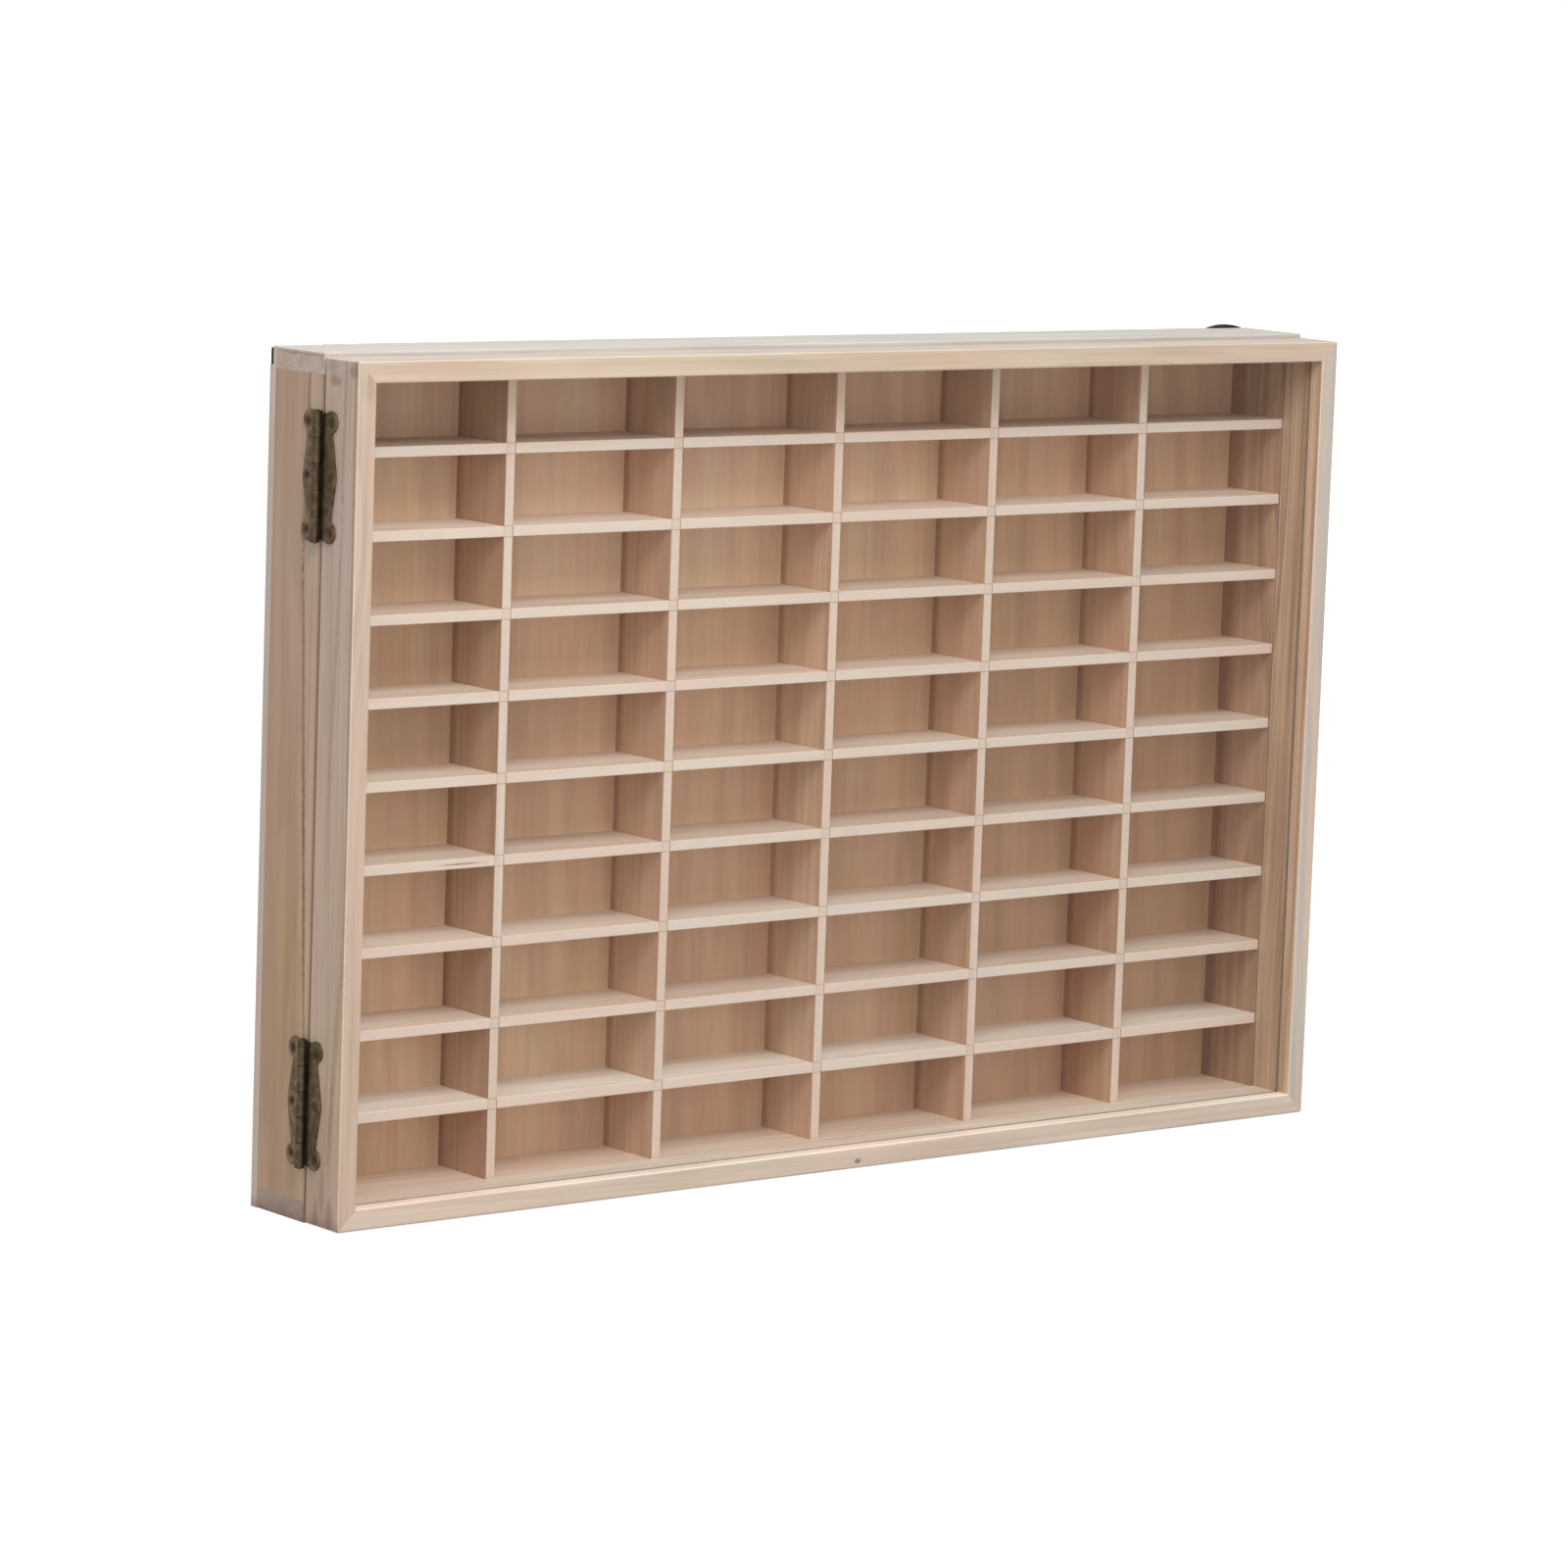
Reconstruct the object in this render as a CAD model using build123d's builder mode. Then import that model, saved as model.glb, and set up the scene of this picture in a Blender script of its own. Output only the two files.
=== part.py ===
"""Wall and shelf display case for small model cars.

A shallow wooden box, divided into equal compartments by cross-lapped boards, with a front
frame that holds a clear pane and swings on two ornamental hinges at the left side.

Frame: millimetres, X to the viewer's right, Y from the front to the back, Z up. The origin is
the middle of the overall outline, on the surface that the case stands on.
"""

import os

from build123d import *

os.makedirs("parts", exist_ok=True)

# Case box
case_width = 600.0
case_height = 400.0
case_depth = 39.0
case_board = 10.0
back_thickness = 5.0

# Compartments
columns = 6
rows = 10
shelf_thickness = 5.0
divider_thickness = 5.0
lap_clearance = 0.1

# Front frame and pane
frame_depth = 27.0
frame_board = 10.0
frame_gap = 0.8
frame_top_step = 2.0
frame_floor_gap = 0.5
pane_thickness = 2.0
pane_setback = 8.0
groove_depth = 4.0
pane_face_clearance = 0.2
pane_edge_clearance = 0.3

# Eased edges of the wood
outer_ease = 0.9
inner_ease = 0.4

# Hinges
hinge_inset = 56.0
hinge_length = 60.0
hinge_set_back = 1.3
knuckles = 5
knuckle_radius = 2.25
knuckle_lift = 0.3
knuckle_end_gap = 0.15
pin_radius = 1.0
pin_clearance = 0.05
pin_end = 0.4
leaf_thickness = 1.0
leaf_reach = 13.4
leaf_swing_gap = 0.35
lobe_radius = 5.0
belly_round = 9.0
scroll_radius = 1.5
leaf_round = 0.3
leaf_nail_reach = 9.6
leaf_nail_rise = 24.6

# Round-headed nails of the hinges
nail_shank = 0.65
nail_length = 7.0
nail_head = 1.5
nail_head_height = 0.6
nail_clearance = 0.05

# Brads in the wood
brad_shank = 0.6
brad_head = 1.0
brad_head_height = 0.6
brad_length = 24.0
panel_brad_length = 16.0
brad_clearance = 0.05
case_brad_inset = 10.0
frame_brad_front = 4.0
frame_brad_back = 7.0
panel_brads_across = 5
panel_brads_up = 3

# Hangers on the back
hanger_width = 28.0
hanger_drop = 16.0
hanger_thickness = 3.0
hanger_side_inset = 0.5
left_hanger_crown = -0.4
right_hanger_crown = 1.8
hanger_shoulder_drop = 1.0
hanger_corner = 7.5
keyhole_entry = 4.0
keyhole_slot = 2.1
keyhole_drop = 10.0
keyhole_travel = 5.5
keyhole_lip = 1.2
keyhole_room = 0.6
screw_spread = 20.0
screw_shank = 1.3
screw_head = 2.4
screw_length = 12.0
screw_clearance = 0.05
recess_length = 3.12
recess_width = 0.48
recess_depth = 0.84

# Hook latch at the right side
latch_height = 200.0
pivot_behind_pane = 3.5
latch_plate_radius = 6.0
latch_plate_thickness = 1.0
latch_play = 0.3
hook_thickness = 1.4
hook_reach = 27.5
hook_arm = 3.6
hook_eye_radius = 3.8
hook_head_radius = 4.4
hook_tip_radius = 1.5
hook_tab_reach = 7.0
hook_tab_width = 1.8
hook_round = 0.3
pivot_radius = 1.5
pivot_clearance = 0.06
stud_radius = 1.5
stud_head = 3.0
stud_head_height = 1.8
stud_head_round = 1.44
stud_length = 8.0

# Places that follow from the sizes
hinge_proud = knuckle_lift + 2 * knuckle_radius
latch_proud = latch_plate_thickness + 2 * latch_play + hook_thickness + stud_head_height
total_depth = frame_depth + frame_gap + case_depth + back_thickness

left_x = (hinge_proud - latch_proud - case_width) / 2
right_x = left_x + case_width
mid_x = left_x + case_width / 2
front_y = -total_depth / 2
frame_back_y = front_y + frame_depth
case_front_y = frame_back_y + frame_gap
case_mid_y = case_front_y + case_depth / 2
case_back_y = case_front_y + case_depth
panel_back_y = case_back_y + back_thickness

inner_width = case_width - 2 * case_board
inner_height = case_height - 2 * case_board
cell_width = (inner_width - (columns - 1) * divider_thickness) / columns
cell_height = (inner_height - (rows - 1) * shelf_thickness) / rows
column_pitch = cell_width + divider_thickness
row_pitch = cell_height + shelf_thickness

frame_bottom_z = frame_floor_gap
frame_top_z = case_height - frame_top_step
frame_height = frame_top_z - frame_bottom_z
frame_mid_z = (frame_top_z + frame_bottom_z) / 2
frame_mid_y = front_y + frame_depth / 2
frame_inner_width = case_width - 2 * frame_board
frame_inner_height = frame_height - 2 * frame_board
pane_mid_y = front_y + pane_setback + pane_thickness / 2
groove_width = pane_thickness + 2 * pane_face_clearance
pane_width = frame_inner_width + 2 * (groove_depth - pane_edge_clearance)
pane_height = frame_inner_height + 2 * (groove_depth - pane_edge_clearance)

axis_x = left_x - knuckle_lift - knuckle_radius
axis_y = (frame_back_y + case_front_y) / 2 + hinge_set_back
hinge_heights = [case_height - hinge_inset, hinge_inset]
knuckle_pitch = hinge_length / knuckles
leaf_start = knuckle_radius + leaf_swing_gap
tab_reach = leaf_start + leaf_thickness
lobe_reach = leaf_reach - lobe_radius
lobe_height = hinge_length / 2 - lobe_radius

hook_y = front_y + pane_setback + pane_thickness + pivot_behind_pane
catch_y = hook_y + hook_reach
hook_x = right_x + latch_plate_thickness + latch_play
head_x = hook_x + hook_thickness + latch_play


def outward_left(y, z):
    """A place on the left side of the case, facing outwards."""
    return Plane(origin=(left_x, y, z), x_dir=(0, 1, 0), z_dir=(-1, 0, 0))


def outward_right(y, z, lift=0.0):
    """A place on the right side of the case, facing outwards."""
    return Plane(origin=(right_x + lift, y, z), x_dir=(0, 1, 0), z_dir=(1, 0, 0))


def outward_back(x, y, z):
    """A place that faces the wall."""
    return Plane(origin=(x, y, z), x_dir=(1, 0, 0), z_dir=(0, 1, 0))


def outward_wall(x, y):
    """A sketch plane parallel to the wall at the top of the case, with Z of the case upwards."""
    return Plane(origin=(x, y, case_height), x_dir=(1, 0, 0), z_dir=(0, -1, 0))


def places(planes):
    """The locations of a list of planes."""
    return [plane.location for plane in planes]


def save(part, name):
    """Name a finished piece and write it."""
    part.label = name
    export_step(part, "parts/" + name + ".step")


# Places of the fasteners
case_brad_ys = [case_front_y + case_brad_inset, case_back_y - case_brad_inset]
case_side_xs = [left_x + case_board / 2, right_x - case_board / 2]
frame_side_xs = [left_x + frame_board / 2, right_x - frame_board / 2]
frame_brad_ys = [front_y + frame_brad_front, frame_back_y - frame_brad_back]

case_corner_planes = []
for brad_x in case_side_xs:
    for brad_y in case_brad_ys:
        case_corner_planes.append(Plane(origin=(brad_x, brad_y, case_height), z_dir=(0, 0, 1)))
        case_corner_planes.append(Plane(origin=(brad_x, brad_y, 0), z_dir=(0, 0, -1)))

frame_corner_planes = []
for brad_x in frame_side_xs:
    for brad_y in frame_brad_ys:
        frame_corner_planes.append(Plane(origin=(brad_x, brad_y, frame_top_z), z_dir=(0, 0, 1)))
        frame_corner_planes.append(Plane(origin=(brad_x, brad_y, frame_bottom_z), z_dir=(0, 0, -1)))

panel_brad_planes = []
for brad_z in [case_board / 2, case_height - case_board / 2]:
    for step in range(panel_brads_across):
        brad_x = left_x + case_width * (step + 0.5) / panel_brads_across
        panel_brad_planes.append(outward_back(brad_x, panel_back_y, brad_z))
for brad_x in case_side_xs:
    for step in range(panel_brads_up):
        brad_z = case_height * (step + 0.5) / panel_brads_up
        panel_brad_planes.append(outward_back(brad_x, panel_back_y, brad_z))

nail_reaches = [(leaf_nail_reach, rise) for rise in (leaf_nail_rise, 0.0, -leaf_nail_rise)]
case_nail_planes = []
frame_nail_planes = []
for hinge_z in hinge_heights:
    for reach, rise in nail_reaches:
        case_nail_planes.append(outward_left(axis_y + reach, hinge_z + rise))
        frame_nail_planes.append(outward_left(axis_y - reach, hinge_z + rise))

hanger_xs = [left_x + hanger_side_inset + hanger_width / 2, right_x - hanger_side_inset - hanger_width / 2]
hanger_screw_z = case_height - case_board / 2
hanger_seat_y = panel_back_y - hanger_thickness
hanger_screw_planes = []
for hanger_x in hanger_xs:
    for side in (-1, 1):
        screw_x = hanger_x + side * screw_spread / 2
        hanger_screw_planes.append(outward_back(screw_x, panel_back_y, hanger_screw_z))


# Fasteners, each drawn once with its head at the origin and its point downwards
def build_brad(length):
    """A thin wire brad with a small flat head that lies flush."""
    with BuildPart() as brad:
        with BuildSketch(Plane.XZ):
            with BuildLine():
                Polyline(
                    (0, 0),
                    (brad_head, 0),
                    (brad_head, -brad_head_height),
                    (brad_shank, -brad_head_height),
                    (brad_shank, 2 * brad_shank - length),
                    (0, -length),
                    close=True,
                )
            make_face()
        revolve(axis=Axis.Z)
    return brad.part


corner_brad = build_brad(brad_length)
panel_brad = build_brad(panel_brad_length)

with BuildPart() as hinge_nail:
    with BuildSketch(Plane.XZ):
        with BuildLine():
            Polyline(
                (0, leaf_thickness + nail_head_height),
                (0, -nail_length),
                (nail_shank, 2 * nail_shank - nail_length),
                (nail_shank, leaf_thickness),
                (nail_head, leaf_thickness),
            )
            TangentArc(
                (0, leaf_thickness + nail_head_height),
                (nail_head, leaf_thickness),
                tangent=(1, 0),
            )
        make_face()
    revolve(axis=Axis.Z)

with BuildPart() as hanger_screw:
    with BuildSketch(Plane.XZ):
        with BuildLine():
            Polyline(
                (0, 0),
                (screw_head, 0),
                (screw_shank, screw_shank - screw_head),
                (screw_shank, 2 * screw_shank - screw_length),
                (0, -screw_length),
                close=True,
            )
        make_face()
    revolve(axis=Axis.Z)
    with BuildSketch(Plane.XY):
        Rectangle(recess_length, recess_width)
        Rectangle(recess_width, recess_length)
    extrude(amount=-recess_depth, mode=Mode.SUBTRACT)


# Boards of the case
def build_case_cap(low_z, outer_face):
    """The top or bottom board, which runs over the ends of the side boards."""
    with BuildPart() as cap:
        with BuildSketch(Plane(origin=(mid_x, case_mid_y, low_z))):
            Rectangle(case_width, case_depth)
        extrude(amount=case_board)
        rim = cap.edges().filter_by(Axis.X).group_by(Axis.Y)[0] + cap.edges().filter_by(Axis.Y)
        fillet(rim.group_by(Axis.Z)[outer_face], outer_ease)
        with Locations(*places(case_corner_planes)):
            CounterBoreHole(
                radius=brad_shank + brad_clearance,
                counter_bore_radius=brad_head + brad_clearance,
                counter_bore_depth=brad_head_height + brad_clearance,
                depth=brad_length + brad_clearance,
            )
        with Locations(*places(panel_brad_planes)):
            Hole(radius=brad_shank + brad_clearance, depth=panel_brad_length + brad_clearance)
        with Locations(*places(hanger_screw_planes)):
            Hole(radius=screw_shank + screw_clearance, depth=screw_length + screw_clearance)
    return cap.part


def build_case_side(low_x, outer_face, side_planes, side_radius, side_depth):
    """A side board between the top and bottom boards, with the holes in its outer face."""
    with BuildPart() as side:
        with BuildSketch(Plane(origin=(low_x + case_board / 2, case_mid_y, case_board))):
            Rectangle(case_board, case_depth)
        extrude(amount=inner_height)
        front_edges = side.edges().filter_by(Axis.Z).group_by(Axis.Y)[0]
        fillet(front_edges.group_by(Axis.X)[outer_face], outer_ease)
        with Locations(*places(case_corner_planes)):
            Hole(radius=brad_shank + brad_clearance, depth=brad_length + brad_clearance)
        with Locations(*places(panel_brad_planes)):
            Hole(radius=brad_shank + brad_clearance, depth=panel_brad_length + brad_clearance)
        with Locations(*places(side_planes)):
            Hole(radius=side_radius, depth=side_depth)
    return side.part


save(build_case_cap(case_height - case_board, -1), "case_top_board")
save(build_case_cap(0.0, 0), "case_bottom_board")
save(
    build_case_side(
        left_x,
        0,
        case_nail_planes,
        nail_shank + nail_clearance,
        nail_length + nail_clearance,
    ),
    "case_left_board",
)
save(
    build_case_side(
        right_x - case_board,
        -1,
        [outward_right(catch_y, latch_height)],
        stud_radius + nail_clearance,
        stud_length + nail_clearance,
    ),
    "case_right_board",
)

with BuildPart() as back_panel:
    with BuildSketch(outward_back(mid_x, case_back_y, case_height / 2)):
        Rectangle(case_width, case_height)
    extrude(amount=back_thickness)
    fillet(back_panel.faces().sort_by(Axis.Y)[-1].edges(), inner_ease)
    with Locations(*places(panel_brad_planes)):
        CounterBoreHole(
            radius=brad_shank + brad_clearance,
            counter_bore_radius=brad_head + brad_clearance,
            counter_bore_depth=brad_head_height + brad_clearance,
            depth=panel_brad_length,
        )
    for hanger_x in hanger_xs:
        with BuildSketch(outward_wall(hanger_x, hanger_seat_y)) as rebate:
            Rectangle(
                hanger_width + 2 * hanger_side_inset,
                hanger_drop + hanger_side_inset,
                align=(Align.CENTER, Align.MAX),
            )
            fillet(rebate.vertices().group_by(Axis.Y)[0], hanger_corner + hanger_side_inset)
        extrude(amount=-hanger_thickness, mode=Mode.SUBTRACT)
    with Locations(*places(hanger_screw_planes)):
        Hole(radius=screw_shank + screw_clearance, depth=screw_length)
save(back_panel.part, "back_panel")


# Cross-lapped shelves and dividers
def shelf_low_z(index):
    """Underside of a shelf, counted from 1 at the bottom."""
    return case_board + index * row_pitch - shelf_thickness


def divider_mid_x(index):
    """Middle plane of an upright divider, counted from 1 at the left."""
    return left_x + case_board + index * column_pitch - divider_thickness / 2


lap_depth = case_depth / 2
divider_xs = [divider_mid_x(index) for index in range(1, columns)]
shelf_zs = [shelf_low_z(index) for index in range(1, rows)]

for index, low_z in enumerate(shelf_zs, start=1):
    with BuildPart() as shelf:
        with BuildSketch(Plane(origin=(mid_x, case_mid_y, low_z))):
            Rectangle(inner_width, case_depth)
        extrude(amount=shelf_thickness)
        fillet(shelf.edges().filter_by(Axis.X).group_by(Axis.Y)[0], inner_ease)
        with BuildSketch(Plane.XY.offset(low_z)):
            with Locations(*[(divider_x, case_front_y + lap_depth / 2) for divider_x in divider_xs]):
                Rectangle(divider_thickness + 2 * lap_clearance, lap_depth)
        extrude(amount=shelf_thickness, mode=Mode.SUBTRACT)
    save(shelf.part, "shelf_" + str(index))

for index, divider_x in enumerate(divider_xs, start=1):
    with BuildPart() as divider:
        with BuildSketch(Plane(origin=(divider_x, case_mid_y, case_board))):
            Rectangle(divider_thickness, case_depth)
        extrude(amount=inner_height)
        fillet(divider.edges().filter_by(Axis.Z).group_by(Axis.Y)[0], inner_ease)
        for low_z in shelf_zs:
            with BuildSketch(Plane.XY.offset(low_z - lap_clearance)):
                with Locations((divider_x, case_back_y - lap_depth / 2)):
                    Rectangle(divider_thickness, lap_depth)
            extrude(amount=shelf_thickness + 2 * lap_clearance, mode=Mode.SUBTRACT)
    save(divider.part, "divider_" + str(index))


# Front frame. The ring is shaped whole and then parted at the mitres.
with BuildPart() as frame_ring:
    with BuildSketch(outward_back(mid_x, frame_mid_y, frame_mid_z)):
        Rectangle(case_width, frame_height)
        Rectangle(frame_inner_width, frame_inner_height, mode=Mode.SUBTRACT)
    extrude(amount=frame_depth / 2, both=True)
    corner_edges = frame_ring.edges().filter_by(Axis.Y).group_by(Axis.X)
    front_edges = frame_ring.faces().sort_by(Axis.Y)[0].edges()
    rear_edges = frame_ring.faces().sort_by(Axis.Y)[-1].outer_wire().edges()
    fillet(corner_edges[0] + corner_edges[-1] + front_edges + rear_edges, outer_ease)
    with BuildSketch(outward_back(mid_x, pane_mid_y, frame_mid_z)):
        Rectangle(frame_inner_width + 2 * groove_depth, frame_inner_height + 2 * groove_depth)
    extrude(amount=groove_width / 2, both=True, mode=Mode.SUBTRACT)


def mitre_corners(inset):
    """The corners of the frame from the lower left round to the upper left, moved inwards along the mitres."""
    low_x = left_x + inset
    high_x = right_x - inset
    low_z = frame_bottom_z + inset
    high_z = frame_top_z - inset
    return [(low_x, low_z), (high_x, low_z), (high_x, high_z), (low_x, high_z)]


def part_ring(first):
    """The piece of the ring between one mitre and the next."""
    outer = mitre_corners(-frame_board)
    inner = mitre_corners(2 * frame_board)
    second = (first + 1) % len(outer)
    with BuildPart() as piece:
        add(frame_ring.part)
        with BuildSketch(Plane(origin=(0, frame_mid_y, 0), x_dir=(1, 0, 0), z_dir=(0, -1, 0))):
            with BuildLine():
                Polyline(outer[first], outer[second], inner[second], inner[first], close=True)
            make_face()
        extrude(amount=frame_depth, both=True, mode=Mode.INTERSECT)
    return piece.part


def build_rail(blank):
    """A rail with counterbored holes for the corner brads."""
    with BuildPart() as rail:
        add(blank)
        with Locations(*places(frame_corner_planes)):
            CounterBoreHole(
                radius=brad_shank + brad_clearance,
                counter_bore_radius=brad_head + brad_clearance,
                counter_bore_depth=brad_head_height + brad_clearance,
                depth=brad_length + brad_clearance,
            )
    return rail.part


def build_stile(blank, side_planes, side_radius, side_depth):
    """A stile with plain holes for the corner brads and the holes in its outer face."""
    with BuildPart() as stile:
        add(blank)
        with Locations(*places(frame_corner_planes)):
            Hole(radius=brad_shank + brad_clearance, depth=brad_length + brad_clearance)
        with Locations(*places(side_planes)):
            Hole(radius=side_radius, depth=side_depth)
    return stile.part


bottom_blank, right_blank, top_blank, left_blank = [part_ring(first) for first in range(4)]
save(build_rail(top_blank), "frame_top_rail")
save(build_rail(bottom_blank), "frame_bottom_rail")
save(
    build_stile(left_blank, frame_nail_planes, nail_shank + nail_clearance, nail_length + nail_clearance),
    "frame_left_stile",
)
save(
    build_stile(
        right_blank,
        [outward_right(hook_y, latch_height)],
        pivot_radius + nail_clearance,
        stud_length + nail_clearance,
    ),
    "frame_right_stile",
)

with BuildPart() as pane:
    with BuildSketch(outward_back(mid_x, pane_mid_y, frame_mid_z)):
        Rectangle(pane_width, pane_height)
    extrude(amount=pane_thickness / 2, both=True)
save(pane.part, "pane")


# Hinges
def build_leaf(hinge_z, side, own_knuckles):
    """One ornamental leaf. Side is 1 towards the back and -1 towards the front."""
    with BuildPart() as leaf:
        leaf_plane = Plane(origin=(left_x, axis_y, hinge_z), x_dir=(0, side, 0), z_dir=(-1, 0, 0))
        with BuildSketch(leaf_plane) as outline:
            with BuildLine():
                Polyline((lobe_reach, -lobe_height), (leaf_reach, 0), (lobe_reach, lobe_height), close=True)
            make_face()
            fillet(outline.vertices().sort_by(Axis.X)[-1], belly_round)
            with Locations(((leaf_start + lobe_reach) / 2, 0)):
                Rectangle(lobe_reach - leaf_start, hinge_length - 2 * scroll_radius)
            with Locations((lobe_reach, lobe_height), (lobe_reach, -lobe_height)):
                Circle(lobe_radius)
            with Locations(*nail_reaches):
                Circle(nail_shank + nail_clearance, mode=Mode.SUBTRACT)
        extrude(amount=leaf_thickness)
        fillet(leaf.faces().sort_by(Axis.X)[0].outer_wire().edges(), leaf_round)
        for knuckle in own_knuckles:
            low_z = hinge_z - hinge_length / 2 + knuckle * knuckle_pitch + knuckle_end_gap
            with BuildSketch(Plane(origin=(axis_x, axis_y, low_z))):
                Circle(knuckle_radius)
                tab_thickness = leaf_thickness - knuckle_lift
                with Locations((knuckle_radius - tab_thickness / 2, side * tab_reach / 2)):
                    Rectangle(tab_thickness, tab_reach)
                Circle(pin_radius + pin_clearance, mode=Mode.SUBTRACT)
            extrude(amount=knuckle_pitch - 2 * knuckle_end_gap)
    return leaf.part


hinge_names = ["upper_hinge", "lower_hinge"]
for hinge_name, hinge_z in zip(hinge_names, hinge_heights):
    save(build_leaf(hinge_z, 1, range(0, knuckles, 2)), hinge_name + "_case_leaf")
    save(build_leaf(hinge_z, -1, range(1, knuckles, 2)), hinge_name + "_frame_leaf")
    with BuildPart() as hinge_pin:
        pin_length = hinge_length + 2 * pin_end
        with BuildSketch(Plane(origin=(axis_x, axis_y, hinge_z - pin_length / 2))):
            Circle(pin_radius)
        extrude(amount=pin_length)
        fillet(hinge_pin.edges().filter_by(GeomType.CIRCLE), pin_end)
    save(hinge_pin.part, hinge_name + "_pin")

with BuildPart() as case_hinge_nails:
    with Locations(*places(case_nail_planes)):
        add(hinge_nail.part)
save(case_hinge_nails.part, "case_hinge_nails")

with BuildPart() as frame_hinge_nails:
    with Locations(*places(frame_nail_planes)):
        add(hinge_nail.part)
save(frame_hinge_nails.part, "frame_hinge_nails")

# Brads
with BuildPart() as case_corner_brads:
    with Locations(*places(case_corner_planes)):
        add(corner_brad)
save(case_corner_brads.part, "case_corner_brads")

with BuildPart() as frame_corner_brads:
    with Locations(*places(frame_corner_planes)):
        add(corner_brad)
save(frame_corner_brads.part, "frame_corner_brads")

with BuildPart() as back_panel_brads:
    with Locations(*places(panel_brad_planes)):
        add(panel_brad)
save(back_panel_brads.part, "back_panel_brads")


# Hangers
def build_hanger(hanger_x, crown):
    """A cast keyhole plate, let into the panel, with a crowned top that can stand above the case."""
    half = hanger_width / 2
    with BuildPart() as hanger:
        with BuildSketch(outward_wall(hanger_x, hanger_seat_y)):
            with BuildLine():
                Polyline(
                    (-half, -hanger_shoulder_drop),
                    (-half, -hanger_drop),
                    (half, -hanger_drop),
                    (half, -hanger_shoulder_drop),
                )
                ThreePointArc((half, -hanger_shoulder_drop), (0, crown), (-half, -hanger_shoulder_drop))
            make_face()
        extrude(amount=-hanger_thickness)
        fillet(hanger.edges().filter_by(Axis.Y).group_by(Axis.Z)[0], hanger_corner)
        fillet(hanger.faces().sort_by(Axis.Y)[-1].edges(), leaf_round)
        slot_mid = -keyhole_drop + keyhole_travel / 2
        with BuildSketch(outward_wall(hanger_x, panel_back_y)):
            with Locations((0, -keyhole_drop)):
                Circle(keyhole_entry)
            with Locations((0, slot_mid)):
                SlotCenterToCenter(keyhole_travel, 2 * keyhole_slot, rotation=90)
        extrude(amount=hanger_thickness, mode=Mode.SUBTRACT)
        with BuildSketch(outward_wall(hanger_x, hanger_seat_y)):
            with Locations((0, slot_mid)):
                SlotCenterToCenter(keyhole_travel, 2 * (keyhole_entry + keyhole_room), rotation=90)
        extrude(amount=keyhole_lip - hanger_thickness, mode=Mode.SUBTRACT)
        with Locations(*places(hanger_screw_planes)):
            CounterSinkHole(
                radius=screw_shank + screw_clearance,
                counter_sink_radius=screw_head + screw_clearance,
                depth=screw_length,
                counter_sink_angle=90,
            )
    return hanger.part


save(build_hanger(hanger_xs[0], left_hanger_crown), "left_hanger")
save(build_hanger(hanger_xs[1], right_hanger_crown), "right_hanger")

with BuildPart() as hanger_screws:
    with Locations(*places(hanger_screw_planes)):
        add(hanger_screw.part)
save(hanger_screws.part, "hanger_screws")


# Hook latch
def build_latch_plate(y, hole_radius):
    """A round base plate with a stepped rim."""
    with BuildPart() as plate:
        with BuildSketch(outward_right(y, latch_height)):
            Circle(latch_plate_radius)
            Circle(hole_radius, mode=Mode.SUBTRACT)
        extrude(amount=latch_plate_thickness)
        rim = plate.faces().sort_by(Axis.X)[-1].outer_wire().edges()
        chamfer(rim, latch_plate_thickness / 2)
    return plate.part


def build_knob(y, shank_radius):
    """A screw with a domed head that stands off the base plate."""
    with BuildPart() as knob:
        with BuildSketch(outward_right(y, latch_height, head_x - right_x)):
            Circle(stud_head)
        extrude(amount=stud_head_height)
        fillet(knob.faces().sort_by(Axis.X)[-1].edges(), stud_head_round)
        with BuildSketch(outward_right(y, latch_height, -stud_length)):
            Circle(shank_radius)
        extrude(amount=stud_length + head_x - right_x)
    return knob.part


save(build_latch_plate(hook_y, pivot_radius + pivot_clearance), "latch_plate")
save(build_latch_plate(catch_y, stud_radius + pivot_clearance), "catch_plate")
save(build_knob(hook_y, pivot_radius), "latch_pivot_screw")
save(build_knob(catch_y, stud_radius), "catch_stud")

with BuildPart() as latch_hook:
    with BuildSketch(Plane(origin=(hook_x, hook_y, latch_height), x_dir=(0, 1, 0), z_dir=(1, 0, 0))):
        Circle(hook_eye_radius)
        with Locations((0, -hook_reach / 2)):
            Rectangle(hook_arm, hook_reach)
        with Locations((0, -hook_reach)):
            Circle(hook_head_radius)
        with Locations((hook_tab_reach, -hook_reach)):
            Circle(hook_tip_radius)
        with Locations((hook_tab_reach / 2, -hook_reach)):
            Rectangle(hook_tab_reach, hook_tab_width)
        Circle(pivot_radius + pivot_clearance, mode=Mode.SUBTRACT)
        with Locations((0, -hook_reach)):
            Circle(stud_radius + latch_play, mode=Mode.SUBTRACT)
        with Locations((-hook_head_radius / 2, -hook_reach)):
            Rectangle(hook_head_radius, 2 * (stud_radius + latch_play), mode=Mode.SUBTRACT)
    extrude(amount=hook_thickness)
    fillet(latch_hook.faces().sort_by(Axis.X)[-1].outer_wire().edges(), hook_round)
save(latch_hook.part, "latch_hook")
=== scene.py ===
"""Looks of the model car display case: bare softwood, dark antiqued hinges, a clear pane."""

import math

import bpy
from mathutils import Matrix, Vector

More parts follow.
